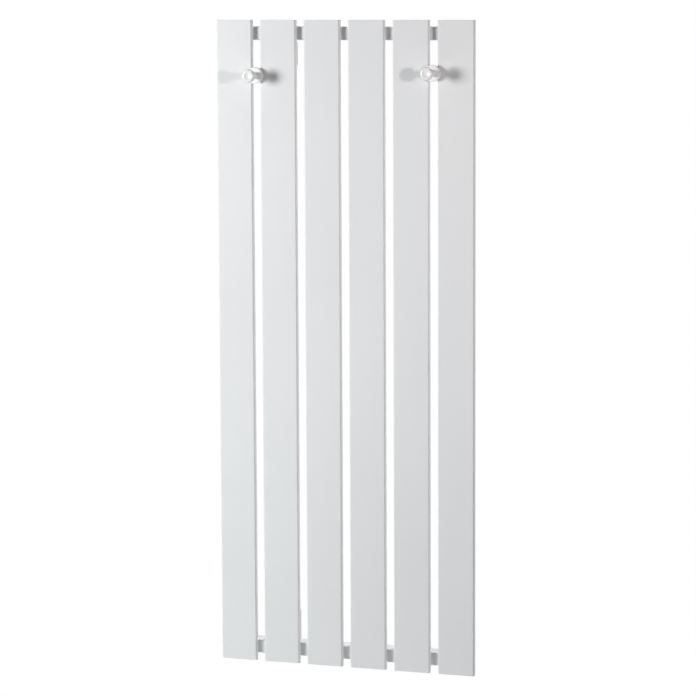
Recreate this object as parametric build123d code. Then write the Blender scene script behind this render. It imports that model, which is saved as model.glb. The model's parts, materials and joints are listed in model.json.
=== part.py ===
from build123d import *
import os

# A wall-hung radiator of upright flat tubes on two headers, with two towel pegs clamped in its gaps.
# Millimetres. X goes right as seen from the room, Y goes into the wall, Z goes up.
# The origin is on the wall, at the centre of the four bracket holes.

# Flat tubes
tube_count = 6
tube_width = 70.0
tube_thickness = 12.0
tube_wall = 1.5
tube_corner = 2.5
tube_gap = 17.0
tube_length = 1220.0
tube_cap_thickness = 3.0

# Headers behind the tubes, with a water port to each tube
tube_past_header = 25.0
header_depth = 40.0
header_height = 25.0
header_wall = 2.0
header_corner = 2.5
header_inset = 14.0
port_diameter = 12.0
end_block_thickness = 12.0
end_plate_thickness = 3.0
baffle_thickness = 2.0

# Half-inch pipe threads, at their minor diameter
pipe_bore = 18.6
socket_diameter = 27.0
socket_length = 15.0
socket_port_diameter = 15.0
mouth_chamfer = 0.8

# Plugs in the top header's ends
plug_shank_length = 10.0
plug_flange_diameter = 24.0
plug_flange_thickness = 3.0
plug_key_width = 10.0
plug_key_depth = 6.0
seal_width = 2.5
seal_thickness = 1.0

# Air-bleed valve
vent_hex_width = 22.0
vent_hex_thickness = 4.0
vent_nose_diameter = 11.0
vent_nose_length = 6.0
vent_lip_height = 0.4
vent_lip_length = 0.6
vent_screw_diameter = 6.0
vent_key_width = 5.0
vent_key_length = 4.5
vent_key_well_diameter = 8.4
vent_orifice_diameter = 2.4
vent_seat_thickness = 2.0
vent_tip_length = 1.4
nozzle_diameter = 16.0
nozzle_length = 5.0
spout_diameter = 4.0
spout_reach = 3.0
vent_hole_diameter = 1.8

# Hanging pockets on the headers, and the wall brackets that they drop onto
wall_gap = 30.0
bracket_tube = 2
bracket_width = 20.0
bracket_thickness = 4.0
bracket_bend = 5.0
bracket_corner = 5.0
bracket_hole_diameter = 9.0
hole_offset = 48.0
leg_past_hole = 17.0
arm_below_pocket = 5.0
pocket_height = 20.0
pocket_wall = 2.5
pocket_corner = 2.0
liner_wall = 1.0
liner_top = 1.5
liner_length = 15.0

# Towel pegs: heights below the top header, and the turned pieces of each peg
left_peg_drop = 78.0
right_peg_drop = 72.0
peg_projection = 42.0
head_diameter = 25.0
head_thickness = 10.0
head_round = 4.5
dish_lip = 0.4
dish_depth = 2.0
sleeve_diameter = 13.0
collar_diameter = 31.0
collar_thickness = 8.0
collar_round = 3.0
collar_spigot_reach = 4.0
peg_screw_diameter = 6.0
peg_screw_seat = 5.0
peg_screw_tail = 6.0
pad_thickness = 1.0
pad_margin = 1.0

# Clamp bars behind the tubes
bar_width = 46.0
bar_height = 22.0
bar_thickness = 6.0
bar_corner = 4.0
bar_tongue_height = 16.0
bar_tongue_reach = 6.0

# Clearances
weld_fit = 0.05
thread_fit = 0.08
running_fit = 0.1
bore_fit = 0.25
gap_fit = 0.4
pad_slide = 0.1
least_corner = 0.3

# Places worked out from those sizes
tube_pitch = tube_width + tube_gap
tube_places = [(i - (tube_count - 1) / 2) * tube_pitch for i in range(tube_count)]
header_back = -wall_gap
header_front = header_back - header_depth
header_y = (header_back + header_front) / 2
tube_back = header_front
tube_front = tube_back - tube_thickness
tube_y = (tube_back + tube_front) / 2
header_end = tube_places[-1] + tube_width / 2 - header_inset

header_spacing = tube_length - 2 * tube_past_header
bottom_z = -header_spacing / 2
top_z = header_spacing / 2
tube_bottom = -tube_length / 2
tube_top = tube_length / 2
pipe_radius = pipe_bore / 2
peg_screw_radius = peg_screw_diameter / 2


def inner_corner(corner, wall):
    return max(corner - wall, least_corner)


def hollow_section(width, height, corner, wall):
    outer = RectangleRounded(width, height, corner)
    return outer - filled_section(width, height, corner, wall, 0)


def filled_section(width, height, corner, wall, fit):
    """The inside of a hollow section, smaller all round by the fit."""
    margin = 2 * (wall + fit)
    return RectangleRounded(width - margin, height - margin, inner_corner(corner, wall))


def drum(radius, start, end):
    """A cylinder on the local Z axis from one height to another."""
    return Pos(0, 0, start) * Cylinder(radius, end - start, align=(Align.CENTER, Align.CENTER, Align.MIN))


def turned(outline):
    """A solid of revolution round the local Z axis from an outline of radius and height."""
    return revolve(make_face(Plane.XZ * outline), Axis.Z)


def water_port(x, z, wall):
    """A round cutter through one wall at the plane where tubes and headers meet."""
    return Pos(x, tube_back, z) * Rot(90, 0, 0) * Cylinder(port_diameter / 2, 4 * wall)


def flat_tube(x):
    section = hollow_section(tube_width, tube_thickness, tube_corner, tube_wall)
    tube = Pos(x, tube_y, tube_bottom) * extrude(section, tube_length)
    for z in (bottom_z, top_z):
        tube -= water_port(x, z, tube_wall)
    return tube


def tube_caps(z):
    section = filled_section(tube_width, tube_thickness, tube_corner, tube_wall, weld_fit)
    cap = extrude(section, tube_cap_thickness)
    return Compound([Pos(x, tube_y, z) * cap for x in tube_places])


def header(z, end_thickness):
    """A header tube with a port to each flat tube, short of its overall length by both end pieces."""
    section = Plane.YZ * hollow_section(header_depth, header_height, header_corner, header_wall)
    tube = Pos(0, header_y, z) * extrude(section, header_end - end_thickness, both=True)
    for x in tube_places:
        tube -= water_port(x, z, header_wall)
    return tube


def socket_frame(x):
    """The underside of the bottom header at one socket, with local Z pointing down."""
    return Pos(x, header_y, bottom_z - header_height / 2) * Rot(180, 0, 0)


def bottom_header_tube():
    tube = header(bottom_z, end_plate_thickness)
    for x in (tube_places[0], tube_places[-1]):
        tube -= socket_frame(x) * drum(socket_port_diameter / 2, -2 * header_wall, header_wall)
    return tube


def pipe_socket(x):
    boss = drum(socket_diameter / 2, 0, socket_length)
    boss = chamfer(boss.edges().group_by(Axis.Z)[-1], mouth_chamfer)
    boss -= drum(pipe_radius, 0, socket_length)
    return socket_frame(x) * boss


def end_frame(side, z):
    """A header's end face, with local Z pointing out of the end and local Y into the wall."""
    return Pos(side * header_end, header_y, z) * Rot(0, 90 * side, 0)


def end_block(side):
    section = RectangleRounded(header_height, header_depth, header_corner)
    block = extrude(section, -end_block_thickness)
    block -= drum(pipe_radius, -end_block_thickness, 0)
    return end_frame(side, top_z) * block


def end_plates():
    plate = extrude(RectangleRounded(header_height, header_depth, header_corner), -end_plate_thickness)
    return Compound([end_frame(side, bottom_z) * plate for side in (-1, 1)])


def flow_baffle():
    """A plate across the bottom header between the last two tubes, which parts flow from return."""
    section = filled_section(header_depth, header_height, header_corner, header_wall, weld_fit)
    plate = extrude(Plane.YZ * section, baffle_thickness / 2, both=True)
    return Pos(tube_places[-1] - tube_pitch / 2, header_y, bottom_z) * plate


def plug_shank():
    return drum(pipe_radius - thread_fit, seal_thickness - plug_shank_length, seal_thickness)


def plug_seal(side):
    bore = pipe_radius + bore_fit
    ring = drum(bore + seal_width, 0, seal_thickness) - drum(bore, 0, seal_thickness)
    return end_frame(side, top_z) * ring


def blanking_plug():
    face = seal_thickness + plug_flange_thickness
    flange = drum(plug_flange_diameter / 2, seal_thickness, face)
    flange = chamfer(flange.edges().group_by(Axis.Z)[-1], mouth_chamfer)
    key = RegularPolygon(plug_key_width / 2, 6, major_radius=False)
    plug = plug_shank() + flange - Pos(0, 0, face) * extrude(key, -plug_key_depth)
    return end_frame(1, top_z) * plug


# Levels of the air-bleed valve along its axis, out from the header's end face
vent_inner_end = seal_thickness - plug_shank_length
vent_seat = vent_inner_end + vent_seat_thickness
vent_shoulder = seal_thickness + vent_hex_thickness
vent_nose_end = vent_shoulder + vent_nose_length
vent_well_floor = vent_nose_end - vent_key_length - running_fit
vent_hole_z = vent_shoulder + running_fit + nozzle_length / 2


def radial_hole(reach):
    """A cutter from the valve's axis downwards at the level of its outlet."""
    return Pos(0, 0, vent_hole_z) * Rot(0, -90, 0) * drum(vent_hole_diameter / 2, 0, reach)


def vent_plug():
    hexagon = RegularPolygon(vent_hex_width / 2, 6, major_radius=False)
    nose = drum(vent_nose_diameter / 2, vent_shoulder, vent_nose_end)
    lip = drum(vent_nose_diameter / 2 + vent_lip_height, vent_nose_end - vent_lip_length, vent_nose_end)
    plug = plug_shank() + Pos(0, 0, seal_thickness) * extrude(hexagon, vent_hex_thickness) + nose + lip
    plug -= drum(vent_orifice_diameter / 2, vent_inner_end, vent_seat)
    plug -= drum(vent_screw_diameter / 2 + thread_fit, vent_seat, vent_well_floor)
    plug -= drum(vent_key_well_diameter / 2, vent_well_floor, vent_nose_end)
    plug -= radial_hole(nozzle_diameter)
    return end_frame(-1, top_z) * plug


def vent_screw():
    """A bleed screw with a cone on its seat and a square for the key."""
    radius = vent_screw_diameter / 2
    tip = vent_seat + running_fit
    outline = Polyline(
        (0, tip),
        (vent_orifice_diameter / 2, tip),
        (radius, tip + vent_tip_length),
        (radius, vent_well_floor + running_fit),
        (0, vent_well_floor + running_fit),
        close=True,
    )
    key = extrude(Rectangle(vent_key_width, vent_key_width), vent_key_length)
    key = Pos(0, 0, vent_well_floor + running_fit) * key
    return end_frame(-1, top_z) * (turned(outline) + key)


def vent_nozzle():
    """A ring that turns on the valve's nose and points its spout where the water should go."""
    start = vent_shoulder + running_fit
    ring = drum(nozzle_diameter / 2, start, start + nozzle_length)
    spout = drum(spout_diameter / 2, 0, nozzle_diameter / 2 + spout_reach)
    ring += Pos(0, 0, vent_hole_z) * Rot(0, -90, 0) * spout
    ring -= drum(vent_nose_diameter / 2 + running_fit, start, start + nozzle_length)
    ring -= radial_hole(nozzle_diameter)
    return end_frame(-1, top_z) * ring


# Levels and widths of a hanging pocket, its liner and its bracket's tongue, from the header's middle
pocket_bottom = -pocket_height / 2
pocket_roof = pocket_height / 2 - pocket_wall
liner_width = bracket_width + 2 * (weld_fit + liner_wall)
liner_depth = bracket_thickness + 2 * (weld_fit + liner_wall)
cavity_width = liner_width + 2 * bore_fit
cavity_depth = liner_depth + 2 * bore_fit
tongue_top = pocket_roof - liner_top
tongue_y = header_back + cavity_depth / 2
arm_middle = pocket_bottom - arm_below_pocket - bracket_thickness / 2


def hanging_pocket(x, z):
    """A pressed pocket on a header's back, open below and closed on top."""
    depth = cavity_depth + pocket_wall
    plan = RectangleRounded(cavity_width + 2 * pocket_wall, 2 * depth, pocket_corner)
    plan -= Pos(0, -depth) * Rectangle(2 * cavity_width, 2 * depth)
    shell = Pos(0, 0, pocket_bottom) * extrude(plan, pocket_height)
    cavity = Pos(0, cavity_depth / 2, (pocket_bottom + pocket_roof) / 2)
    shell -= cavity * Box(cavity_width, cavity_depth, pocket_roof - pocket_bottom)
    return Pos(x, header_back, z) * shell


def bracket_liner(x, z):
    """A nylon cap over a bracket's tongue, on which the pocket's roof rests."""
    top = Pos(0, 0, pocket_roof) * Box(
        liner_width, liner_depth, liner_length, align=(Align.CENTER, Align.CENTER, Align.MAX)
    )
    slot = Pos(0, 0, tongue_top) * Box(
        liner_width - 2 * liner_wall,
        liner_depth - 2 * liner_wall,
        liner_length,
        align=(Align.CENTER, Align.CENTER, Align.MAX),
    )
    return Pos(x, tongue_y, z) * (top - slot)


def wall_bracket(x, z):
    """A bent strip: a leg on the wall, an arm into the room and a tongue up into the pocket.

    The leg points towards the middle of the radiator, down at the top and up at the bottom.
    """
    leg_y = -bracket_thickness / 2
    way = -1 if z > 0 else 1
    leg_end = way * (hole_offset + leg_past_hole)
    path = FilletPolyline(
        (0, leg_y, leg_end),
        (0, leg_y, arm_middle),
        (0, tongue_y, arm_middle),
        (0, tongue_y, tongue_top),
        radius=bracket_bend,
    )
    strip = sweep(Pos(0, leg_y, leg_end) * Rectangle(bracket_width, bracket_thickness), path)
    leg_corners = strip.edges().filter_by(Axis.Y).group_by(Axis.Z)[-1 if way > 0 else 0]
    strip = fillet(leg_corners, bracket_corner)
    hole = Pos(0, leg_y, way * hole_offset) * Rot(90, 0, 0)
    hole *= Cylinder(bracket_hole_diameter / 2, 2 * bracket_thickness)
    return Pos(x, 0, z) * (strip - hole)


# Levels of a towel peg along its axis, out from the tubes' front faces
collar_back = pad_slide + pad_thickness
collar_front = collar_back + collar_thickness
head_back = peg_projection - head_thickness
head_overhang = (head_diameter - sleeve_diameter) / 2
head_edge = min(head_round, head_thickness / 2 - least_corner, head_overhang - least_corner)
bar_front = -tube_thickness - collar_back
spigot_radius = tube_gap / 2 - gap_fit


def peg_head():
    """A thick round head with a fully rounded rim, a dished face and a blind hole for the screw."""
    dish_radius = head_diameter / 2 - head_edge - dish_lip
    outline = Polyline(
        (0, peg_projection - dish_depth),
        (0, head_back),
        (head_diameter / 2, head_back),
        (head_diameter / 2, peg_projection),
        (dish_radius, peg_projection),
    )
    dish = TangentArc((0, peg_projection - dish_depth), (dish_radius, peg_projection), tangent=(1, 0))
    face = make_face(Plane.XZ * (outline + dish))
    face = fillet(face.vertices().group_by(Axis.X)[-1], head_edge)
    return revolve(face, Axis.Z) - drum(peg_screw_radius + weld_fit, head_back, head_back + peg_screw_seat)


def peg_screw():
    return drum(peg_screw_radius, bar_front - bar_thickness - peg_screw_tail, head_back + peg_screw_seat)


def peg_sleeve():
    outside = drum(sleeve_diameter / 2, collar_front, head_back)
    return outside - drum(peg_screw_radius + bore_fit, collar_front, head_back)


def peg_collar():
    """A round foot on the tubes, with a spigot that centres it in the gap."""
    disc = drum(collar_diameter / 2, collar_back, collar_front)
    disc = fillet(disc.edges().group_by(Axis.Z)[-1], collar_round)
    disc += drum(spigot_radius, -collar_spigot_reach, collar_back)
    return disc - drum(peg_screw_radius + bore_fit, -collar_spigot_reach, collar_front)


def peg_front_pad():
    ring = drum(collar_diameter / 2 - pad_margin, pad_slide, collar_back)
    return ring - drum(spigot_radius + bore_fit, pad_slide, collar_back)


def peg_clamp_bar():
    """A bar across the backs of two tubes, with a tongue in the gap that stops it turning."""
    bar = extrude(RectangleRounded(bar_width, bar_height, bar_corner), -bar_thickness)
    tongue_length = collar_back + bar_tongue_reach
    bar += extrude(Rectangle(tube_gap - 2 * gap_fit, bar_tongue_height), tongue_length)
    bar -= drum(peg_screw_radius + thread_fit, -bar_thickness, tongue_length)
    return Pos(0, 0, bar_front) * bar


def peg_rear_pads():
    inner = tube_gap / 2 + pad_margin
    outer = bar_width / 2 - pad_margin
    pad = extrude(Rectangle(outer - inner, bar_height - 2 * bar_corner), pad_thickness)
    return Compound([Pos(side * (inner + outer) / 2, 0, bar_front) * pad for side in (-1, 1)])


peg_pieces = {
    "head": peg_head,
    "screw": peg_screw,
    "sleeve": peg_sleeve,
    "collar": peg_collar,
    "front_pad": peg_front_pad,
    "clamp_bar": peg_clamp_bar,
    "rear_pads": peg_rear_pads,
}


def peg_frame(side, drop):
    """The axis of a peg in the first or the last gap, with local Z pointing into the room."""
    x = side * (tube_places[-1] - tube_pitch / 2)
    return Pos(x, tube_front, top_z - drop) * Rot(90, 0, 0)


def build_parts():
    parts = {}
    for number, x in enumerate(tube_places, start=1):
        parts[f"flat_tube_{number}"] = flat_tube(x)
    parts["tube_top_caps"] = tube_caps(tube_top - tube_cap_thickness)
    parts["tube_bottom_caps"] = tube_caps(tube_bottom)
    parts["top_header"] = header(top_z, end_block_thickness)
    parts["bottom_header"] = bottom_header_tube()
    parts["vent_end_block"] = end_block(-1)
    parts["blank_end_block"] = end_block(1)
    parts["bottom_header_end_plates"] = end_plates()
    parts["flow_baffle"] = flow_baffle()
    parts["return_socket"] = pipe_socket(tube_places[0])
    parts["flow_socket"] = pipe_socket(tube_places[-1])
    parts["vent_plug"] = vent_plug()
    parts["vent_seal"] = plug_seal(-1)
    parts["vent_screw"] = vent_screw()
    parts["vent_nozzle"] = vent_nozzle()
    parts["blanking_plug"] = blanking_plug()
    parts["blanking_seal"] = plug_seal(1)

    bracket_x = tube_places[-bracket_tube]
    for level, z in (("top", top_z), ("bottom", bottom_z)):
        for hand, x in (("left", -bracket_x), ("right", bracket_x)):
            place = f"{level}_{hand}"
            parts[f"hanging_pocket_{place}"] = hanging_pocket(x, z)
            parts[f"bracket_liner_{place}"] = bracket_liner(x, z)
            parts[f"wall_bracket_{place}"] = wall_bracket(x, z)

    for hand, side, drop in (("left", -1, left_peg_drop), ("right", 1, right_peg_drop)):
        for name, make in peg_pieces.items():
            parts[f"{hand}_peg_{name}"] = peg_frame(side, drop) * make()
    return parts


os.makedirs("parts", exist_ok=True)
for node, shape in build_parts().items():
    export_step(shape, f"parts/{node}.step")
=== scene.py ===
# %% [markdown]
# # A tall wall radiator with two towel pegs
# Six flat steel tubes stand side by side on two headers, and two turned pegs are clamped in the
# first and the last gap. The solids of every piece are packed already, in metres, with X to the
# right, Y into the wall and Z up. This lesson loads them as a fixed frame and dresses them: finer
# meshes where a bend or a turned edge shows, weld beads and threads that the solids leave out,
# finishes, lamps and a camera.

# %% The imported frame
import json
import math
import bmesh
import bpy
from mathutils import Matrix, Vector


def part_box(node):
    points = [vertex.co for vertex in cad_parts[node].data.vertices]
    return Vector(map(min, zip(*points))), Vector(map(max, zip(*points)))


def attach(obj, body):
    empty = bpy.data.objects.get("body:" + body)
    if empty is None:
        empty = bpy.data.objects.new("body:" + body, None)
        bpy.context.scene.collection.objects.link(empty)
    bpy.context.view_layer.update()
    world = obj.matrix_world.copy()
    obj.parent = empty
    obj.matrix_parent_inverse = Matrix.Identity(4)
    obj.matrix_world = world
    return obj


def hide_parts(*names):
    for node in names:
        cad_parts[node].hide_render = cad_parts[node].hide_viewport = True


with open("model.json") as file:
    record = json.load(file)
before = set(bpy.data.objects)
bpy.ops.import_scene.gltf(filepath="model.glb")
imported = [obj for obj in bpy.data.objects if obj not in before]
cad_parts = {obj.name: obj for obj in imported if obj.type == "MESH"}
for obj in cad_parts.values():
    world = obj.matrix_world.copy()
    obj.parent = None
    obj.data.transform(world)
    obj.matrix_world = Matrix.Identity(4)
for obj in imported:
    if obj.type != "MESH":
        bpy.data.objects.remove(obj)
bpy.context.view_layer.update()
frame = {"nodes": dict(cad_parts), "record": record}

mm = 0.001
nodes = frame["nodes"]

# %% [markdown]
# ## The camera
# The picture was taken from the right and from a little above, through a long lens, so the tubes
# stay almost parallel. The camera could be turned by eye, but six tubes give many straight edges,
# so its place was worked out from them: it stands 5.3 m in front of the wall and 1.9 m to the
# right of the middle, turned 19.4 degrees and tipped 7 degrees down. Turning is easiest as three
# rotations in a row: round Z, then down, then a touch of roll.

# %% The camera
yaw, pitch, roll = math.radians(19.449), math.radians(6.995), math.radians(-0.256)
camera_place = (1.8614, -5.3352, 0.6833)
film_width = 36  # mm
picture_width, focal_length = 696, 3000  # pixels
turn = (
    Matrix.Rotation(yaw, 4, "Z")
    @ Matrix.Rotation(math.pi / 2 - pitch, 4, "X")
    @ Matrix.Rotation(roll, 4, "Z")
)
bpy.ops.object.camera_add(location=camera_place, rotation=turn.to_euler())
camera = bpy.context.object
camera.name = "camera"
camera.data.sensor_width = film_width
camera.data.lens = film_width * focal_length / picture_width
camera.data.clip_end = 50
bpy.context.scene.camera = camera
print("lens", round(camera.data.lens, 1), "mm")

# %% [markdown]
# ## The lamps
# Each peg throws a dark soft shadow to its right and a paler, crisper one to its left. So there
# are two lamps a little above the pegs: a larger, stronger and slightly cool one on the left, and
# a small, weak and slightly warm one on the right. Alone they would leave the feet of the tubes
# dull, so a weak fill stands low in front. The top of the lower header is almost white in the
# picture, though the tubes shade it from the front: a fourth lamp, high behind and narrowed to a
# beam, reaches it. A lamp is aimed by turning its own -Z axis along the line to its target. The
# last two lamps are kept out of reflections.


# %% The lamps
def lamp(name, place, aim, size, watts, colour):
    heading = (Vector(aim) - Vector(place)).to_track_quat("-Z", "Y").to_euler()
    bpy.ops.object.light_add(type="AREA", location=place, rotation=heading)
    made = bpy.context.object
    made.name = name
    made.data.shape = "RECTANGLE"
    made.data.size, made.data.size_y = size
    made.data.energy = watts
    made.data.color = colour
    made.visible_camera = False
    return made


cool, warm = (0.975, 0.99, 1.0), (1.0, 0.94, 0.95)
sea_green, white = (0.65, 1.0, 0.97), (1.0, 1.0, 1.0)
lamp("left_lamp", (-1.58, -1.64, 0.61), (-0.05, -0.08, 0.0), (0.62, 0.62), 42.5, cool)
lamp("right_lamp", (1.27, -0.96, 0.585), (0.05, -0.08, 0.1), (0.10, 0.10), 8.4, warm)
low_fill = lamp("low_fill", (-0.5, -0.8, -0.45), (0.0, -0.08, -0.3), (0.3, 0.4), 0.34, sea_green)
back_lamp = lamp("back_lamp", (0.0, 1.0, 3.0), (0.0, -0.03, -0.585), (0.6, 0.4), 1.8, white)
back_lamp.data.spread = math.radians(30)
low_fill.visible_glossy = back_lamp.visible_glossy = False
print("two lamps, a fill and a beam")

# %% [markdown]
# ## Sums in the shader editor
# A finish is a net of nodes, and most of them are sums: a noise times a small number, one less a
# mask. Added by hand, each sum is a Math node with two links. Here one small class wraps a node's
# output and gives it Python's own operators, so that `0.3 + 0.1 * noise` adds the Math nodes by
# itself. All other nodes come from one method, which sets a node's options first and then its
# sockets.


# %% Sums in the shader editor
class Number:
    """A value that changes over a surface: a node's output that takes part in sums."""

    def __init__(self, net, socket):
        self.net, self.socket = net, socket

    def __add__(self, other):
        return self.net.sum("ADD", self, other)

    def __mul__(self, other):
        return self.net.sum("MULTIPLY", self, other)

    def __sub__(self, other):
        return self.net.sum("SUBTRACT", self, other)

    def __rsub__(self, other):
        return self.net.sum("SUBTRACT", other, self)

    def __truediv__(self, other):
        return self.net.sum("DIVIDE", self, other)

    def __pow__(self, other):
        return self.net.sum("POWER", self, other)

    __radd__ = __add__
    __rmul__ = __mul__


class Net:
    """A node tree whose nodes are added from Python."""

    def __init__(self, tree):
        self.tree = tree

    def node(self, kind, settings={}, sockets={}, out=0):
        made = self.tree.nodes.new(kind)
        for key, value in settings.items():
            setattr(made, key, value)
        for key, value in sockets.items():
            self.feed(made.inputs[key], value)
        return Number(self, made.outputs[out])

    def feed(self, socket, value):
        if isinstance(value, Number):
            self.tree.links.new(value.socket, socket)
        else:
            socket.default_value = value

    def sum(self, operation, first, second=0.0):
        return self.node("ShaderNodeMath", {"operation": operation}, {0: first, 1: second})


print("sums are ready")

# %% [markdown]
# ## The room
# The object was cut out on white, so the camera sees a plain white world. The same white would
# flood the object with light from all sides and wash its shadows out. The Light Path node parts
# the two: rays that come straight from the camera, or off gloss, find a world of strength 1. All
# others find a room that is dark in front and bright behind, as a white wall is behind a radiator:
# the strength is the Y part of the ray's direction. That lights the tubes' narrow sides and backs,
# and leaves the shadows in front.

# %% The room
world = bpy.data.worlds.new("studio")
bpy.context.scene.world = world
bpy.context.scene.view_settings.view_transform = "Standard"
world.use_nodes = True
room = Net(world.node_tree)
background = world.node_tree.nodes["Background"]
background.inputs["Color"].default_value = (1, 1, 1, 1)
white_rays = ("Camera", "Glossy", "Transmission")
seen = sum(room.node("ShaderNodeLightPath", out=f"Is {ray} Ray") for ray in white_rays)
heading = room.node("ShaderNodeTexCoord", out="Generated")
to_wall = room.node("ShaderNodeSeparateXYZ", {}, {0: heading}, out="Y")
wall_strength = 1.1
wall_light = wall_strength * room.sum("MAXIMUM", to_wall, 0.0)
room.feed(background.inputs["Strength"], seen + (1 - seen) * wall_light)
print("a white world, lit from the wall")

# %% [markdown]
# ## What the finishes share
# Every finish starts from the Principled shader and reads Object coordinates. All pieces have
# their place in their mesh, so those are metres in the room, and a noise of scale 400 has grains
# of 2.5 mm on every piece alike. The helpers below are the strokes that come back: a noise, a
# smooth step, a mix of two colours, one axis, and a bump.


# %% What the finishes share
class Finish(Net):
    """A material on Object coordinates."""

    def __init__(self, name):
        self.material = bpy.data.materials.new(name)
        self.material.use_nodes = True
        super().__init__(self.material.node_tree)
        self.shader = self.tree.nodes["Principled BSDF"]
        self.place = self.node("ShaderNodeTexCoord", out="Object")

    def set(self, **sockets):
        for key, value in sockets.items():
            self.feed(self.shader.inputs[key.replace("_", " ")], value)

    def noise(self, scale, detail=2.0, place=None):
        sockets = {"Vector": place or self.place, "Scale": scale, "Detail": detail}
        return self.node("ShaderNodeTexNoise", {}, sockets)

    def stretched(self, x, y, z):
        """Object coordinates with each axis drawn out or squeezed."""
        return self.node("ShaderNodeMapping", {}, {"Vector": self.place, "Scale": (x, y, z)})

    def between(self, amount, low, high, start=0.0, end=1.0):
        """A smooth step from start to end while amount goes from low to high."""
        limits = {0: amount, 1: low, 2: high, 3: start, 4: end}
        return self.node("ShaderNodeMapRange", {"interpolation_type": "SMOOTHSTEP"}, limits)

    def mix(self, amount, first, second):
        first, second = (c if isinstance(c, Number) else (*c, 1) for c in (first, second))
        sockets = {0: amount, 6: first, 7: second}
        return self.node("ShaderNodeMix", {"data_type": "RGBA"}, sockets, out=2)

    def axis(self, name):
        return self.node("ShaderNodeSeparateXYZ", {}, {0: self.place}, out=name)

    def bump(self, height, distance, strength=1.0, under=None):
        sockets = {"Height": height, "Distance": distance, "Strength": strength}
        if under:
            sockets["Normal"] = under
        return self.node("ShaderNodeBump", {}, sockets)


finishes = {}
print("helpers for the finishes are ready")

# %% [markdown]
# ## White enamel
# The steel is sprayed with white powder and baked. The coat is satin, not a mirror: it has a faint
# orange peel and a slow change of tone from one spray pass to the next. On the tubes' rounded
# upright edges and on their narrow sides in the gaps, the colour is painted a little greyer: that
# is painted shade between the tubes, together with the thinner coat on the edges, which lets a
# little more steel through. One flat white would look like plastic, so each of these is a noise or
# a mask with a very small share. The edge mask needs no picture: the tubes stand 87 mm apart, so
# the distance from the middle of the nearest gap comes from X alone.


# %% White enamel
tube_pitch, tube_back = 87 * mm, -70 * mm


def white_enamel():
    finish = Finish("white_enamel")
    from_gap = finish.sum("PINGPONG", finish.axis("X") / tube_pitch, 0.5) * tube_pitch
    on_tube = finish.between(finish.axis("Y"), tube_back + 1 * mm, tube_back - 1 * mm)
    # painted shade: greyer on the tubes' narrow sides and rounded edges in the gaps, with a
    # thinner coat on the edges
    edge_and_gap_shade = on_tube * finish.between(from_gap, 8.5 * mm, 11.0 * mm, 1.0, 0.0)
    passes = finish.between(finish.noise(2.6, 3.0), 0.3, 0.7)
    tone = finish.mix(passes, (0.79, 0.795, 0.80), (0.815, 0.82, 0.825))
    # the painted shade in the gaps is mixed into the tone here
    colour = finish.mix(0.35 * edge_and_gap_shade, tone, (0.74, 0.75, 0.755))
    peel = finish.bump(finish.noise(420.0), 0.10 * mm, 0.5)
    drift = finish.bump(finish.noise(60.0, 1.0), 0.12 * mm, 0.3, peel)
    finish.set(Base_Color=colour, Roughness=0.44 + 0.10 * finish.noise(14.0, 3.0), Normal=drift)
    finish.set(Specular_IOR_Level=0.35)
    return finish.material


finishes["white_enamel"] = white_enamel()
print("white enamel has", len(finishes["white_enamel"].node_tree.nodes), "nodes")

# %% [markdown]
# ## Peg enamel
# The pegs are turned, sanded on the lathe, dipped and lacquered, so they are glossier and a little
# warmer than the tubes: the lacquer is the shader's clear coat. What the lathe leaves is faint
# rings round the peg's own axis. Both pegs share one finish: they stand 174 mm left and right of
# the middle, so the absolute value of X brings both axes to one place, and the right peg's extra 6
# mm of height is taken off by a step on X.


# %% Peg enamel
peg_x, left_peg_z, right_peg_rise = 174 * mm, 507 * mm, 6 * mm


def peg_enamel():
    finish = Finish("peg_enamel")
    across = finish.sum("ABSOLUTE", finish.axis("X")) - peg_x
    right_side = finish.between(finish.axis("X"), -1 * mm, 1 * mm)
    up = finish.axis("Z") - left_peg_z - right_peg_rise * right_side
    radius = (across * across + up * up) ** 0.5
    rings = finish.sum("SINE", radius * (2 * math.pi / (0.7 * mm)) + 3.0 * finish.noise(120.0))
    clouds = finish.between(finish.noise(90.0, 3.0), 0.35, 0.65)
    colour = finish.mix(clouds, (0.865, 0.865, 0.855), (0.895, 0.895, 0.888))
    lathe = finish.bump(rings, 0.004 * mm, 0.25)
    dip = finish.bump(finish.noise(180.0, 1.0), 0.04 * mm, 0.25, lathe)
    finish.set(Base_Color=colour, Roughness=0.26 + 0.08 * finish.noise(240.0), Normal=dip)
    finish.set(Coat_Weight=0.35, Coat_Roughness=0.25)
    return finish.material


finishes["peg_enamel"] = peg_enamel()
print("peg enamel has", len(finishes["peg_enamel"].node_tree.nodes), "nodes")

# %% [markdown]
# ## Metals
# Three metals show, all of them on the back and the ends: zinc on the clamp bars and their screws,
# nickel on the plugs, bare brass on the bleed screw. A metal is mostly reflection, so its look
# comes from how its gloss changes. Zinc has a spangle of flat crystals, which Voronoi cells give.
# Nickel is polished with a belt, which leaves fine lines, a noise drawn out along one axis. Brass
# goes brown where fingers and water reached it.


# %% Metals
def zinc_steel():
    finish = Finish("zinc_steel")
    sockets = {"Vector": finish.place, "Scale": 700.0}
    cells = finish.node("ShaderNodeTexVoronoi", {}, sockets, out="Color")
    spangle = finish.node("ShaderNodeSeparateColor", {}, {0: cells})
    bloom = finish.between(finish.noise(70.0, 4.0), 0.45, 0.75)
    bright = finish.mix(spangle, (0.55, 0.57, 0.60), (0.66, 0.67, 0.67))
    colour = finish.mix(0.5 * bloom, bright, (0.60, 0.58, 0.53))
    rough = 0.24 + 0.10 * spangle + 0.16 * bloom
    finish.set(Base_Color=colour, Metallic=1.0, Roughness=rough)
    finish.set(Normal=finish.bump(finish.noise(900.0, 3.0), 0.02 * mm, 0.4))
    return finish.material


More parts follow.
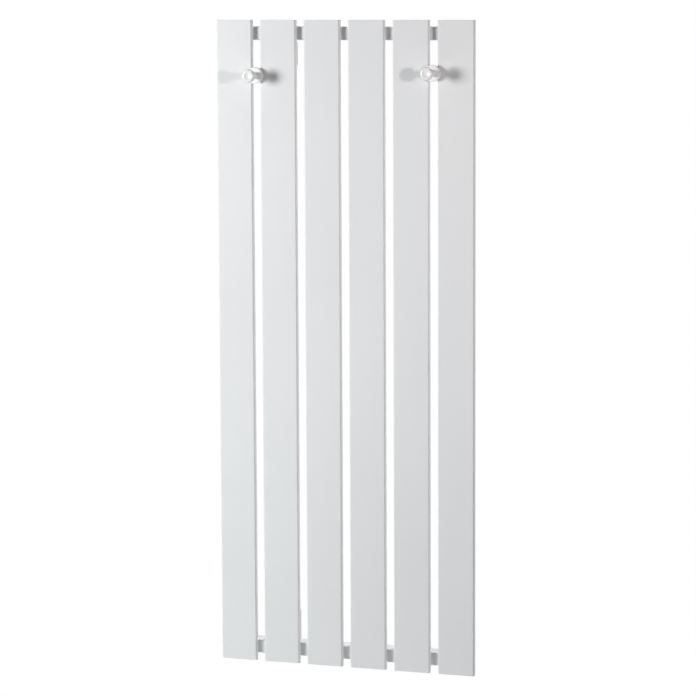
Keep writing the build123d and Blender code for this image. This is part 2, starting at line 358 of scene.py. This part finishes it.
def nickel_brass():
    finish = Finish("nickel_brass")
    lines = finish.noise(300.0, 4.0, finish.stretched(0.4, 1.0, 12.0))
    haze = finish.between(finish.noise(160.0, 3.0), 0.4, 0.8)
    colour = finish.mix(haze, (0.70, 0.68, 0.64), (0.62, 0.59, 0.53))
    finish.set(Base_Color=colour, Metallic=1.0, Roughness=0.16 + 0.12 * lines + 0.10 * haze)
    finish.set(Normal=finish.bump(lines, 0.01 * mm, 0.5))
    return finish.material


def bare_brass():
    finish = Finish("bare_brass")
    tarnish = finish.between(finish.noise(420.0, 4.0), 0.45, 0.7)
    colour = finish.mix(tarnish, (0.72, 0.52, 0.23), (0.38, 0.25, 0.11))
    finish.set(Base_Color=colour, Metallic=1.0, Roughness=0.24 + 0.26 * tarnish)
    finish.set(Normal=finish.bump(finish.noise(1500.0), 0.01 * mm, 0.4))
    return finish.material


for make in (zinc_steel, nickel_brass, bare_brass):
    finishes[make.__name__] = make()
print("three metals")

# %% [markdown]
# ## Bracket coating, nylon, pads and seals
# The brackets are coated with a matt, slightly grained paint. The liners and the bleed nozzle are
# moulded nylon, off-white and waxy, with a fine spark-eroded grain from the mould. The clamp pads
# are grey foam rubber with open pores, painted darker inside as painted shade in the holes, and
# the seals black rubber with a grey bloom.


# %% Bracket coating, nylon, pads and seals
def bracket_coating():
    finish = Finish("bracket_coating")
    grain = finish.noise(1400.0, 3.0)
    rubbed = finish.between(finish.noise(45.0, 4.0), 0.55, 0.8)
    colour = finish.mix(rubbed, (0.73, 0.735, 0.73), (0.66, 0.665, 0.665))
    finish.set(Base_Color=colour, Roughness=0.46 + 0.12 * grain - 0.10 * rubbed)
    finish.set(Normal=finish.bump(grain, 0.05 * mm, 0.5))
    return finish.material


def white_nylon():
    finish = Finish("white_nylon")
    flow = finish.between(finish.noise(55.0, 3.0), 0.3, 0.7)
    colour = finish.mix(flow, (0.77, 0.765, 0.73), (0.82, 0.815, 0.79))
    finish.set(Base_Color=colour, Roughness=0.40 + 0.10 * finish.noise(700.0))
    finish.set(Normal=finish.bump(finish.noise(2200.0), 0.02 * mm, 0.5))
    return finish.material


def grey_pad():
    finish = Finish("grey_pad")
    pores = finish.node("ShaderNodeTexVoronoi", {}, {"Vector": finish.place, "Scale": 1800.0})
    # painted shade: the colour is darker inside each pore, where the hole lies in shade
    pore_shade = finish.between(pores, 0.1, 0.35, 1.0, 0.0)
    colour = finish.mix(pore_shade, (0.46, 0.46, 0.455), (0.30, 0.30, 0.30))
    finish.set(Base_Color=colour, Roughness=0.85 - 0.10 * pore_shade)
    finish.set(Normal=finish.bump(pores, 0.08 * mm, 0.6))
    return finish.material


def black_rubber():
    finish = Finish("black_rubber")
    blooming = finish.between(finish.noise(220.0, 4.0), 0.5, 0.8)
    colour = finish.mix(blooming, (0.018, 0.018, 0.019), (0.06, 0.06, 0.06))
    finish.set(Base_Color=colour, Roughness=0.5 + 0.25 * blooming)
    finish.set(Normal=finish.bump(finish.noise(1600.0), 0.03 * mm, 0.5))
    return finish.material


for make in (bracket_coating, white_nylon, grey_pad, black_rubber):
    finishes[make.__name__] = make()
for part in frame["record"]["subparts"]:
    nodes[part["node"]].material_slots[0].material = finishes[part["material_slot"]]
print(len(finishes), "finishes on all nodes")

# %% [markdown]
# ## The floor
# A plane alone would do, but a bare edge far off looks cut. Its rim is rolled over with a bevel,
# like a sheet of board, and its paint has the faint mottle of a roller.

# %% The floor
bpy.ops.object.select_all(action="DESELECT")
floor_middle, floor_size = (0, -0.9, -0.87), (2.4, 2.4, 0.02)
bpy.ops.mesh.primitive_cube_add(size=1, location=floor_middle, scale=floor_size)
floor = bpy.context.object
floor.name = "floor"
bpy.ops.object.transform_apply(location=True, rotation=True, scale=True)
bpy.ops.object.mode_set(mode="EDIT")
bpy.ops.mesh.select_all(action="SELECT")
bpy.ops.mesh.bevel(offset=4 * mm, segments=3)
bpy.ops.object.mode_set(mode="OBJECT")
paint = Finish("floor_paint")
mottle = paint.noise(24.0, 4.0)
pale = paint.mix(mottle, (0.78, 0.78, 0.775), (0.82, 0.82, 0.82))
paint.set(Base_Color=pale, Roughness=0.6 + 0.2 * mottle)
floor.data.materials.append(paint.material)
print("floor at", round(max(v.co.z for v in floor.data.vertices), 2), "m")

# %% [markdown]
# ## First strokes
# Every sheet-metal piece below begins as a block at its real size and place, read from the packed
# node, and is then shaped in edit mode. By hand one would click its edges; here `choose` picks
# them by a test on their place or direction. `done` closes a piece: it merges doubles, turns the
# faces outwards, shades round edges smooth, and weights the normals by area so that the large
# flats stay flat.


# %% First strokes
def let_go():
    """Back in object mode, with nothing selected."""
    if bpy.context.mode != "OBJECT":
        bpy.ops.object.mode_set(mode="OBJECT")
    bpy.ops.object.select_all(action="DESELECT")


def only(piece):
    let_go()
    piece.select_set(True)
    bpy.context.view_layer.objects.active = piece


def named(name):
    piece = bpy.context.object
    piece.name = piece.data.name = name
    bpy.ops.object.transform_apply(location=True, rotation=True, scale=True)
    return piece


def block(name, low, high):
    let_go()
    low, high = Vector(low), Vector(high)
    bpy.ops.mesh.primitive_cube_add(size=1, location=(low + high) / 2, scale=high - low)
    return named(name)


def choose(piece, kind, wanted):
    """Select the vertices, edges or faces that pass the test, in edit mode."""
    if piece.mode != "EDIT":
        only(piece)
        bpy.ops.object.mode_set(mode="EDIT")
    bpy.ops.mesh.select_mode(type=kind)
    bpy.ops.mesh.select_all(action="DESELECT")
    mesh = bmesh.from_edit_mesh(piece.data)
    for item in {"VERT": mesh.verts, "EDGE": mesh.edges, "FACE": mesh.faces}[kind]:
        if wanted(item):
            item.select_set(True)
    mesh.select_flush_mode()
    bmesh.update_edit_mesh(piece.data)


def runs_along(edge, axis):
    line = edge.verts[1].co - edge.verts[0].co
    return abs(line[axis]) > 0.999 * line.length


def modify(piece, kind, **settings):
    """Add a modifier, set it and apply it."""
    only(piece)
    modifier = piece.modifiers.new(kind.lower(), kind)
    for key, value in settings.items():
        setattr(modifier, key, value)
    bpy.ops.object.modifier_apply(modifier=modifier.name)


def thicken(piece, wall, offset=-1):
    """Give a skin its wall, inwards unless told otherwise."""
    modify(piece, "SOLIDIFY", thickness=wall, offset=offset, use_even_offset=True)


def break_edges(piece, width, segments=3, angle=60):
    """Bevel all edges that are sharper than the angle."""
    limit = math.radians(angle)
    modify(piece, "BEVEL", width=width, segments=segments, limit_method="ANGLE", angle_limit=limit)


def done(piece, angle=40):
    choose(piece, "VERT", lambda vertex: True)
    bpy.ops.mesh.remove_doubles(threshold=0.002 * mm)
    bpy.ops.mesh.normals_make_consistent(inside=False)
    only(piece)
    bpy.ops.object.shade_smooth_by_angle(angle=math.radians(angle))
    modify(piece, "WEIGHTED_NORMAL", keep_sharp=True)
    return piece


def copy_of(piece, name, shift):
    only(piece)
    bpy.ops.object.duplicate()
    bpy.context.object.location = shift
    return named(name)


def joined(name, pieces):
    only(pieces[0])
    for piece in pieces:
        piece.select_set(True)
    bpy.ops.object.join()
    return named(name)


def dress(piece, slot, body, node=None):
    """Give a finished piece its finish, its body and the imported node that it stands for."""
    piece.data.materials.clear()
    piece.data.materials.append(finishes[slot])
    if node:
        piece.name = piece.data.name = f"{node}_dressed"
        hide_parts(node)
    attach(piece, body)


print("strokes are ready")

# %% [markdown]
# ## The flat tubes
# A flat tube is steel strip rolled into a closed section of 70 by 12 mm with walls of 1.5 mm. It
# could be left a solid bar, but its open ends take the caps, so it is made as the mill makes it:
# the block's four upright edges are rounded, its two ends are taken off, and Solidify gives the
# skin its wall. The cut rims are broken with a small bevel. One tube is modelled, and the other
# five are copies a pitch apart.

# %% The flat tubes
tubes = [block("tube", *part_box("flat_tube_1"))]
choose(tubes[0], "EDGE", lambda edge: runs_along(edge, 2))
bpy.ops.mesh.bevel(offset=2.5 * mm, segments=6)
choose(tubes[0], "FACE", lambda face: abs(face.normal.z) > 0.9)
bpy.ops.mesh.delete(type="FACE")
thicken(tubes[0], 1.5 * mm)
break_edges(tubes[0], 0.35 * mm, segments=2)
done(tubes[0])
for number in range(1, 6):
    tubes.append(copy_of(tubes[0], "tube", (number * tube_pitch, 0, 0)))
for number, tube in enumerate(tubes, start=1):
    dress(tube, "white_enamel", "radiator", f"flat_tube_{number}")
print(len(tubes), "tubes of", len(tubes[0].data.polygons), "faces")

# %% [markdown]
# ## Their end caps
# Each end is closed by a plate let into the tube and welded, and the weld is ground off. What
# stays is a shallow groove round the plate. A block with rounded corners and a bevelled outer rim,
# set a hair below the tube's end, gives that groove without cutting anything.


# %% Their end caps
def caps(node, outer):
    """Plates in all six tubes; outer is the side that they show, 1 for up and -1 for down."""
    low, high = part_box(node)
    plate_width, sunk = 66.9 * mm, 0.1 * mm
    high.x = low.x + plate_width
    plate = block(node, low, high)
    choose(plate, "EDGE", lambda edge: runs_along(edge, 2))
    bpy.ops.mesh.bevel(offset=1.0 * mm, segments=4)
    choose(plate, "FACE", lambda face: face.normal.z * outer > 0.9)
    bpy.ops.transform.translate(value=(0, 0, -sunk * outer))
    bpy.ops.mesh.region_to_loop()
    bpy.ops.mesh.bevel(offset=0.5 * mm, segments=3)
    done(plate)
    plates = [plate]
    for number in range(1, 6):
        plates.append(copy_of(plate, f"cap_{number}", (number * tube_pitch, 0, 0)))
    return joined(node, plates)


for node, outer in (("tube_top_caps", 1), ("tube_bottom_caps", -1)):
    dress(caps(node, outer), "white_enamel", "radiator", node)
print("twelve end caps")

# %% [markdown]
# ## The headers
# Water runs across in two headers of square-edged tube, 40 mm deep and 25 mm high, on the tubes'
# backs. They are made like the flat tubes, but lie along X. The lower one has a round port above
# each pipe socket, cut with a Boolean; the cutter is a drum that is thrown away afterwards.


# %% The headers
header_y, header_z, header_half = -50 * mm, 585 * mm, 12.5 * mm
header_front, header_back = tube_back, -30 * mm
header_bend = 2.5 * mm


def header(node):
    piece = block(node, *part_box(node))
    choose(piece, "EDGE", lambda edge: runs_along(edge, 0))
    bpy.ops.mesh.bevel(offset=header_bend, segments=6)
    choose(piece, "FACE", lambda face: abs(face.normal.x) > 0.9)
    bpy.ops.mesh.delete(type="FACE")
    thicken(piece, 2 * mm)
    return piece


def drum(radius, length, place, turn=(0, 0, 0), sides=64):
    let_go()
    bpy.ops.mesh.primitive_cylinder_add(
        vertices=sides, radius=radius, depth=length, location=place, rotation=turn
    )
    return named("drum")


def cut(piece, tool, operation="DIFFERENCE"):
    modify(piece, "BOOLEAN", object=tool, operation=operation, solver="EXACT")
    bpy.data.objects.remove(tool)


top_header, bottom_header = header("top_header"), header("bottom_header")
socket_x, socket_z, port_radius = 217.5 * mm, -header_z - header_half, 7.5 * mm
for x in (-socket_x, socket_x):
    cut(bottom_header, drum(port_radius, 8 * mm, (x, header_y, socket_z)))
for piece, node in ((top_header, "top_header"), (bottom_header, "bottom_header")):
    dress(done(piece), "white_enamel", "radiator", node)
print("two headers")

# %% [markdown]
# ## The headers' ends
# The top header ends in two thick blocks that are bored for the bleed valve and the blanking plug;
# the bottom one ends in two plates. All four are welded on and dressed with a grinder, which
# leaves a low, soft seam all round. The seam is a thin block, a touch larger than the header, with
# all its edges rounded.


# %% The headers' ends
def end_piece(name, low, high):
    piece = block(name, low, high)
    choose(piece, "EDGE", lambda edge: runs_along(edge, 0))
    bpy.ops.mesh.bevel(offset=header_bend, segments=6)
    break_edges(piece, 0.5 * mm)
    return piece


block_x, bore_radius = 232.5 * mm, 9.3 * mm
for node, x in (("vent_end_block", -block_x), ("blank_end_block", block_x)):
    piece = end_piece(node, *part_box(node))
    cut(piece, drum(bore_radius, 30 * mm, (x, header_y, header_z), (0, math.pi / 2, 0)))
    dress(done(piece), "white_enamel", "radiator", node)

low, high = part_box("bottom_header_end_plates")
thick = 3 * mm
plates = [
    done(end_piece("left_plate", low, (low.x + thick, high.y, high.z))),
    done(end_piece("right_plate", (high.x - thick, low.y, low.z), high)),
]
plates = joined("bottom_header_end_plates", plates)
dress(plates, "white_enamel", "radiator", "bottom_header_end_plates")


def end_seam(x, z):
    proud, half_width = 0.35 * mm, 2 * mm
    low = (x - half_width, header_front - proud, z - header_half - proud)
    high = (x + half_width, header_back + proud, z + header_half + proud)
    seam = block("end_seam", low, high)
    choose(seam, "EDGE", lambda edge: runs_along(edge, 0))
    bpy.ops.mesh.bevel(offset=2.6 * mm, segments=6)
    break_edges(seam, 1.2 * mm)
    return done(seam)


top_ends, bottom_ends = (226.5 * mm, header_z), (235.0 * mm, -header_z)
seams = [end_seam(side * x, z) for x, z in (top_ends, bottom_ends) for side in (-1, 1)]
dress(joined("header_end_seams", seams), "white_enamel", "radiator")
print("four ends with their seams")

# %% [markdown]
# ## Turned pieces
# Pegs, plugs, sockets and even weld beads are round. A lathe is drawn as rings: a circle at the
# first radius and height of an outline, extruded to the height of the next and scaled to its
# radius, and so on. Spin would do the same from a drawn section, but rings need no section mesh
# and close themselves. All of them are turned upright on the world's Z axis; `soften` rounds
# single rings, and `put` lays the piece where it belongs.


# %% Turned pieces
def turned(name, outline, steps=96):
    """Rings from an outline of (radius, height) in millimetres; a radius of 0 closes the piece."""
    let_go()
    (radius, height), *others = outline
    foot = (0, 0, height * mm)
    bpy.ops.mesh.primitive_circle_add(vertices=steps, radius=radius * mm, location=foot)
    piece = named(name)
    choose(piece, "EDGE", lambda edge: True)
    for next_radius, next_height in others:
        climb = (0, 0, (next_height - height) * mm)
        bpy.ops.mesh.extrude_edges_move(TRANSFORM_OT_translate={"value": climb})
        if next_radius == 0:
            bpy.ops.mesh.merge(type="CENTER")
            break
        grow = next_radius / radius
        bpy.ops.transform.resize(value=(grow, grow, 1), center_override=(0, 0, next_height * mm))
        radius, height = next_radius, next_height
    bpy.ops.mesh.select_all(action="SELECT")
    bpy.ops.mesh.remove_doubles(threshold=0.002 * mm)
    bpy.ops.mesh.fill_holes(sides=0)
    return piece


def soften(piece, radius, height, width, segments):
    """Round the ring at this radius and height, in millimetres."""

    def on_ring(vertex):
        off = vertex.co.xy.length - radius * mm, vertex.co.z - height * mm
        return max(abs(off[0]), abs(off[1])) < 0.01 * mm

    choose(piece, "EDGE", lambda edge: all(on_ring(vertex) for vertex in edge.verts))
    bpy.ops.mesh.bevel(offset=width * mm, segments=segments)


def put(piece, place, turn=(0, 0, 0)):
    only(piece)
    piece.location, piece.rotation_euler = place, turn
    bpy.ops.object.transform_apply(location=True, rotation=True, scale=True)
    return piece


to_room, to_left, to_right = (math.pi / 2, 0, 0), (0, -math.pi / 2, 0), (0, math.pi / 2, 0)
down = (math.pi, 0, 0)
print("the lathe is ready")

# %% [markdown]
# ## Weld beads
# Each tube is held on each header by two short fillet welds, above and below the header, 36 mm
# long. A bead is a row of overlapping drops, so it is turned with a ripple: every ring is a little
# thicker or thinner than the last, and the ends taper off. The bead's middle lies in the corner,
# and the steel hides three quarters of it. One bead is turned and laid along X, and then copied to
# all 24 places.


# %% Weld beads
def row_of_drops(name, drops, length, thick, wave, tip):
    """A bead along Z, in millimetres; tip is the radius of its ends and how far they reach out."""
    half = length / 2
    ripple = []
    for step in range(2 * drops + 1):
        radius = thick + wave * math.cos(math.pi * step)
        ripple.append((radius, step * length / (2 * drops) - half))
    tip_radius, reach = tip
    outline = [(tip_radius, -half - reach)] + ripple + [(tip_radius, half + reach)]
    return done(turned(name, outline, steps=14), 70)


first_tube_x = -2.5 * tube_pitch
bead = row_of_drops("weld_bead", 14, 36, 1.9, 0.35, (0.8, 1.2))
put(bead, (0, 0, 0), to_right)
beads = []
for z in (header_z, -header_z):
    for edge in (-header_half, header_half):
        for number in range(6):
            corner = (first_tube_x + number * tube_pitch, header_front, z + edge)
            beads.append(copy_of(bead, "bead", corner))
bpy.data.objects.remove(bead)
dress(joined("tube_weld_beads", beads), "white_enamel", "radiator")
print(len(beads), "weld beads")

# %% [markdown]
# ## The pipe sockets
# Under each end of the bottom header sits a steel socket with a half-inch pipe thread, for
# whatever valve comes there. The bore is turned at the thread's full width, and the ridge is a
# four-cornered section that a Screw modifier winds up, 14 turns to the inch. A ring of weld holds
# the socket: a torus on which every third section is drawn in, which gives it the ripple of the
# straight beads.


# %% The pipe sockets
def thread(name, root, crest, pitch, start, turns, steps=48):
    """A ridge round Z from start, in millimetres; its foot stands at root and its top at crest."""
    let_go()
    bpy.ops.mesh.primitive_circle_add(vertices=4, radius=1 * mm)
    ridge = named(name)
    section = ((root, 0.0), (crest, 0.32), (crest, 0.5), (root, 0.82))
    for vertex, (radius, share) in zip(ridge.data.vertices, section):
        vertex.co = (radius * mm, 0, (start + share * pitch) * mm)
    modify(
        ridge, "SCREW", axis="Z", angle=2 * math.pi, screw_offset=pitch * mm, iterations=turns,
        steps=steps, render_steps=steps,
    )
    choose(ridge, "EDGE", lambda edge: edge.is_boundary)
    bpy.ops.mesh.fill_holes(sides=4)
    return done(ridge, 30)


def weld_ring(name, radius):
    sections, thick, wave = 90, 1.7 * mm, 0.35 * mm
    let_go()
    bpy.ops.mesh.primitive_torus_add(
        major_segments=sections, minor_segments=10, major_radius=radius, minor_radius=thick
    )
    ring = named(name)
    step = 2 * math.pi / sections

    def is_third(vertex):
        return round(math.atan2(vertex.co.y, vertex.co.x) / step) % 3 == 0

    choose(ring, "VERT", is_third)
    bpy.ops.transform.shrink_fatten(value=-wave)
    return done(ring, 70)


pipe_pitch = 25.4 / 14
bore = [(10.45, 0), (13.5, 0), (13.5, 14.2), (12.7, 15), (11.3, 15), (10.45, 14.15), (10.45, 0)]
boss = done(turned("socket_boss", bore))
socket = joined("return_socket", [boss, thread("socket_thread", 10.55, 9.35, pipe_pitch, 0.5, 7)])
socket_place, to_flow = (-socket_x, header_y, socket_z), (2 * socket_x, 0, 0)
put(socket, socket_place, down)
ring = put(weld_ring("return_socket_weld", 13.7 * mm), socket_place)
flow_socket = copy_of(socket, "flow_socket", to_flow)
rings = [ring, copy_of(ring, "flow_socket_weld", to_flow)]
for piece, node in ((socket, "return_socket"), (flow_socket, "flow_socket")):
    dress(piece, "white_enamel", "radiator", node)
dress(joined("socket_welds", rings), "white_enamel", "radiator")
print("two sockets of", len(socket.data.polygons), "faces")

# %% [markdown]
# ## The air-bleed valve
# Air gathers at the top, so the left end block carries a bleed valve: a hexagon plug, a nose with
# a well, a square screw down in the well and a nylon ring that turns the spout where the water
# should go. The hexagon's curved chamfers are what a hexagon bar gets on a lathe, so they are made
# that way: the bar is intersected with a turned, bevelled disc. The ring's grip is every second
# face of its rim, inset and raised.

# %% The air-bleed valve
end_x = 238.5 * mm
vent_axis = (-end_x, header_y, header_z)
across_flats = 22
hexagon = drum(across_flats / math.sqrt(3) * mm, 4 * mm, (0, 0, 3 * mm), (0, 0, math.pi / 2), 6)
cut(hexagon, done(turned("disc", [(11.2, 1), (12.8, 1.9), (12.8, 4.1), (11.2, 5)])), "INTERSECT")
nose = [(5.5, 4.8), (5.5, 10.4), (5.9, 10.5), (5.9, 10.9), (5.8, 11), (4.3, 11), (4.2, 10.9)]
well = [(4.2, 6.4), (3.1, 6.4), (3.1, 4.8), (5.5, 4.8)]
nose = done(turned("vent_nose", nose + well, 64))
shank = done(turned("vent_shank", [(7.6, -9), (8.3, -8.3), (8.3, 1)]))
shank_thread = thread("vent_thread", 8.2, 9.2, pipe_pitch, -8.5, 5)
plug = joined("vent_plug", [done(hexagon), nose, shank, shank_thread])
dress(put(plug, vent_axis, to_left), "nickel_brass", "radiator", "vent_plug")

square = block("vent_square", (-2.5 * mm, -2.5 * mm, 6.5 * mm), (2.5 * mm, 2.5 * mm, 11 * mm))
choose(
    square, "EDGE", lambda edge: runs_along(edge, 2) or min(v.co.z for v in edge.verts) > 10 * mm
)
bpy.ops.mesh.bevel(offset=0.35 * mm, segments=3)
shaft = done(turned("vent_shaft", [(1.2, -6.9), (3, -5.5), (3, 6.5)], 48))
bleed_screw = joined("vent_screw", [done(square), shaft])
dress(put(bleed_screw, vent_axis, to_left), "bare_brass", "vent_screw", "vent_screw")

rim = [(5.6, 5.1), (7.3, 5.1), (7.6, 5.4), (7.6, 9.8), (7.3, 10.1), (5.8, 10.1), (5.6, 9.9)]
nozzle = turned("vent_nozzle", rim + rim[:1], 60)


def is_rib(face):
    """Every second of the 60 faces on the nozzle's rim."""
    middle, rib_pitch = face.calc_center_median(), 2 * math.pi / 30
    angle = math.atan2(middle.y, middle.x)
    return middle.xy.length > 7.5 * mm and angle % rib_pitch < rib_pitch / 2


choose(nozzle, "FACE", is_rib)
bpy.ops.mesh.inset(thickness=0.12 * mm, depth=0.35 * mm, use_individual=True)
spout = [(0.9, 6.8), (2, 6.8), (2, 10.7), (1.7, 11), (1.1, 11), (0.9, 10.8), (0.9, 6.8)]
spout = done(turned("spout", spout, 40))
nozzle = joined("vent_nozzle", [done(nozzle), put(spout, (0, 0, 7.6 * mm), to_left)])
dress(put(nozzle, vent_axis, to_left), "white_nylon", "vent_nozzle", "vent_nozzle")
print("bleed valve of", len(plug.data.polygons), "faces")

# %% [markdown]
# ## The blanking plug
# The other end is closed by a round plug with a hexagon key hole. It is turned from the thread
# outwards in one outline, and the key hole is cut with a six-sided drum.

# %% The blanking plug
blank = [(7.6, -9), (8.3, -8.3), (8.3, 1), (12, 1), (12, 3.2), (11.2, 4)]
blank = done(turned("blanking_plug", blank))
key = 10
cut(blank, drum(key / math.sqrt(3) * mm, 8 * mm, (0, 0, 2 * mm), (0, 0, math.pi / 2), 6))
blank = joined(
    "blanking_plug", [done(blank), thread("blank_thread", 8.2, 9.2, pipe_pitch, -8.5, 5)]
)
put(blank, (end_x, header_y, header_z), to_right)
dress(blank, "nickel_brass", "radiator", "blanking_plug")
print("blanking plug of", len(blank.data.polygons), "faces")

# %% [markdown]
# ## The hanging pockets
# The radiator hangs on four pressed pockets on the headers' backs, open below. A pocket is a block
# without its foot and without the side on the header; its five free edges are rounded and Solidify
# gives the sheet its 2.5 mm. A short bead of weld runs down each side.

# %% The hanging pockets
short_bead = row_of_drops("short_bead", 5, 14, 1.3, 0.25, (0.6, 0.8))
places = ("top_left", "top_right", "bottom_left", "bottom_right")
pocket_beads = []
for place in places:
    node = f"hanging_pocket_{place}"
    low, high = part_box(node)
    pocket = block(node, low, high)
    choose(pocket, "FACE", lambda face: face.normal.y < -0.9 or face.normal.z < -0.9)
    bpy.ops.mesh.delete(type="FACE")
    choose(pocket, "EDGE", lambda edge: not edge.is_boundary)
    bpy.ops.mesh.bevel(offset=2.6 * mm, segments=4)
    thicken(pocket, 2.5 * mm)
    dress(done(pocket), "white_enamel", "radiator", node)
    for x in (low.x, high.x):
        pocket_beads.append(copy_of(short_bead, "pocket_bead", (x, low.y, (low.z + high.z) / 2)))
bpy.data.objects.remove(short_bead)
dress(joined("pocket_weld_beads", pocket_beads), "white_enamel", "radiator")
print("four pockets with", len(pocket_beads), "beads")

# %% [markdown]
# ## The wall brackets
# A bracket is a strip of 20 by 4 mm steel: a leg on the wall, an arm into the room and a tongue up
# into the pocket. It is drawn as a sheet with no thickness along the strip's middle, because bends
# are easy there: the leg is a plane, its edge is extruded twice, and the two bend edges are
# bevelled to a radius. Solidify then gives the thickness and a drum cuts the screw hole. The lower
# brackets' legs point up, so there are two kinds.


# %% The wall brackets
def wall_bracket(node, x, level, way):
    """A bent strip; way is 1 where the leg goes up from the arm, and -1 where it goes down."""
    leg_y, tongue_y = -2 * mm, -26.7 * mm
    arm_z, tongue_z, leg_z = level - 17 * mm, level + 6 * mm, level + way * 65 * mm
    hole_z = level + way * 48 * mm
    width, bend = 20 * mm, 5 * mm
    let_go()
    middle = (x, leg_y, (arm_z + leg_z) / 2)
    bpy.ops.mesh.primitive_plane_add(size=1, location=middle, rotation=to_room)
    bpy.context.object.scale = (width, abs(leg_z - arm_z), 1)
    strip = named(node)
    choose(strip, "EDGE", lambda edge: all(abs(end.co.z - arm_z) < 0.1 * mm for end in edge.verts))
    bpy.ops.mesh.extrude_edges_move(TRANSFORM_OT_translate={"value": (0, tongue_y - leg_y, 0)})
    bpy.ops.mesh.extrude_edges_move(TRANSFORM_OT_translate={"value": (0, 0, tongue_z - arm_z)})
    choose(strip, "VERT", lambda vertex: abs(vertex.co.z - leg_z) < 0.1 * mm)
    bpy.ops.mesh.bevel(offset=bend, segments=6, affect="VERTICES")
    choose(strip, "EDGE", lambda edge: runs_along(edge, 0) and not edge.is_boundary)
    bpy.ops.mesh.bevel(offset=bend, segments=8)
    thicken(strip, 4 * mm, offset=0)
    cut(strip, drum(4.5 * mm, 12 * mm, (x, leg_y, hole_z), to_room))
    break_edges(strip, 0.4 * mm, segments=2, angle=50)
    return done(strip)


bracket_x = 130.5 * mm
for place in places:
    node = f"wall_bracket_{place}"
    x = -bracket_x if "left" in place else bracket_x
    level, way = (header_z, -1) if "top" in place else (-header_z, 1)
    dress(wall_bracket(node, x, level, way), "bracket_coating", "radiator", node)
print("four brackets")

# %% [markdown]
# ## The towel pegs
# A peg is a spool: a thick dished head, a narrow sleeve and a broad collar on the tubes. What the
# eye reads first is its edges. The head's rim is round all over, so it runs from white on the
# lamp's side to grey on the other: both its corners are bevelled by 4.5 mm, the lip of the dish by
# a little and the collar's front by 1.4 mm. The dish is a shallow ball, so its rings follow a
# circle of 15.4 mm radius. Each piece is turned once for the left peg and copied to the right, 348
# mm over and 6 mm up.


# %% The towel pegs
tube_front = -82 * mm
left_axis, to_right_peg = (-peg_x, tube_front, left_peg_z), (2 * peg_x, 0, right_peg_rise)


def both_pegs(piece, name, slot, part):
    """Lay a piece on the left peg, copy it to the right one, and let both ride with their part."""
    put(piece, left_axis, to_room)
    piece.name = piece.data.name = f"left_peg_{name}"
    twin = copy_of(piece, f"right_peg_{name}", to_right_peg)
    for hand, made in (("left", piece), ("right", twin)):
        dress(made, slot, f"{hand}_peg_{part}", f"{hand}_peg_{name}")


collar_low, collar_top, head_low, head_top = 1.1, 9.1, 32, 42
hole, sleeve_radius, head_radius, collar_radius = 3.25, 6.5, 12.5, 15.5

ball, dish_bottom = 15.44, 40
dish = []
for radius in (6.9, 5.8, 4.6, 3.4, 2.2, 1.1, 0):
    dish.append((radius, dish_bottom + ball - math.sqrt(ball**2 - radius**2)))
lip = 7.6
head = [(sleeve_radius, head_low), (head_radius, head_low), (head_radius, head_top)]
head = turned("peg_head", head + [(lip, head_top)] + dish)
soften(head, head_radius, head_low, 4.5, 10)
soften(head, head_radius, head_top, 4.5, 10)
soften(head, lip, head_top, 0.35, 3)
both_pegs(done(head), "head", "peg_enamel", "handle")

sleeve = [(hole, collar_top), (sleeve_radius, collar_top), (sleeve_radius, head_low)]
sleeve = turned("peg_sleeve", sleeve + [(hole, head_low), (hole, collar_top)])
soften(sleeve, sleeve_radius, head_low, 0.4, 3)
both_pegs(done(sleeve), "sleeve", "peg_enamel", "spacer")

spigot = [(hole, -4), (7.8, -4), (8.1, -3.7), (8.1, collar_low)]
flange = [(collar_radius, collar_low), (collar_radius, collar_top), (hole, collar_top), (hole, -4)]
collar = turned("peg_collar", spigot + flange)
soften(collar, collar_radius, collar_top, 1.4, 6)
soften(collar, collar_radius, collar_low, 0.5, 3)
both_pegs(done(collar), "collar", "peg_enamel", "spacer")
print("two heads, sleeves and collars")

# %% [markdown]
# ## Screws and clamp bars
# Behind the tubes a bar bridges the gap, and a 6 mm screw from the peg's head draws it up against
# them. The screw's thread shows where it stands out behind the bar, so it gets a real ridge of 1
# mm pitch on a thinner core. The bar is a block with rounded corners; its tongue, which keeps it
# from turning in the gap, is a second block that a Boolean melts in.

# %% Screws and clamp bars
core = [(2.2, -25.1), (2.55, -24.6), (2.55, 2.0), (3.0, 2.5), (3.0, 36.6), (2.6, 37)]
core = turned("screw_core", core, 48)
screw = joined("peg_screw", [done(core), thread("screw_thread", 2.5, 3.0, 1.0, -24.9, 27, 32)])
both_pegs(screw, "screw", "zinc_steel", "handle")

bar = block("clamp_bar", (-23 * mm, -11 * mm, -19.1 * mm), (23 * mm, 11 * mm, -13.1 * mm))
choose(bar, "EDGE", lambda edge: runs_along(edge, 2))
bpy.ops.mesh.bevel(offset=4 * mm, segments=6)
tongue = block("tongue", (-8.1 * mm, -8 * mm, -15 * mm), (8.1 * mm, 8 * mm, -6 * mm))
cut(bar, tongue, "UNION")
screw_hole = drum(3.08 * mm, 30 * mm, (0, 0, -12 * mm))
cut(bar, screw_hole)
break_edges(bar, 0.5 * mm, angle=50)
both_pegs(done(bar), "clamp_bar", "zinc_steel", "carriage")
print("two screws of", len(screw.data.polygons), "faces and two clamp bars")
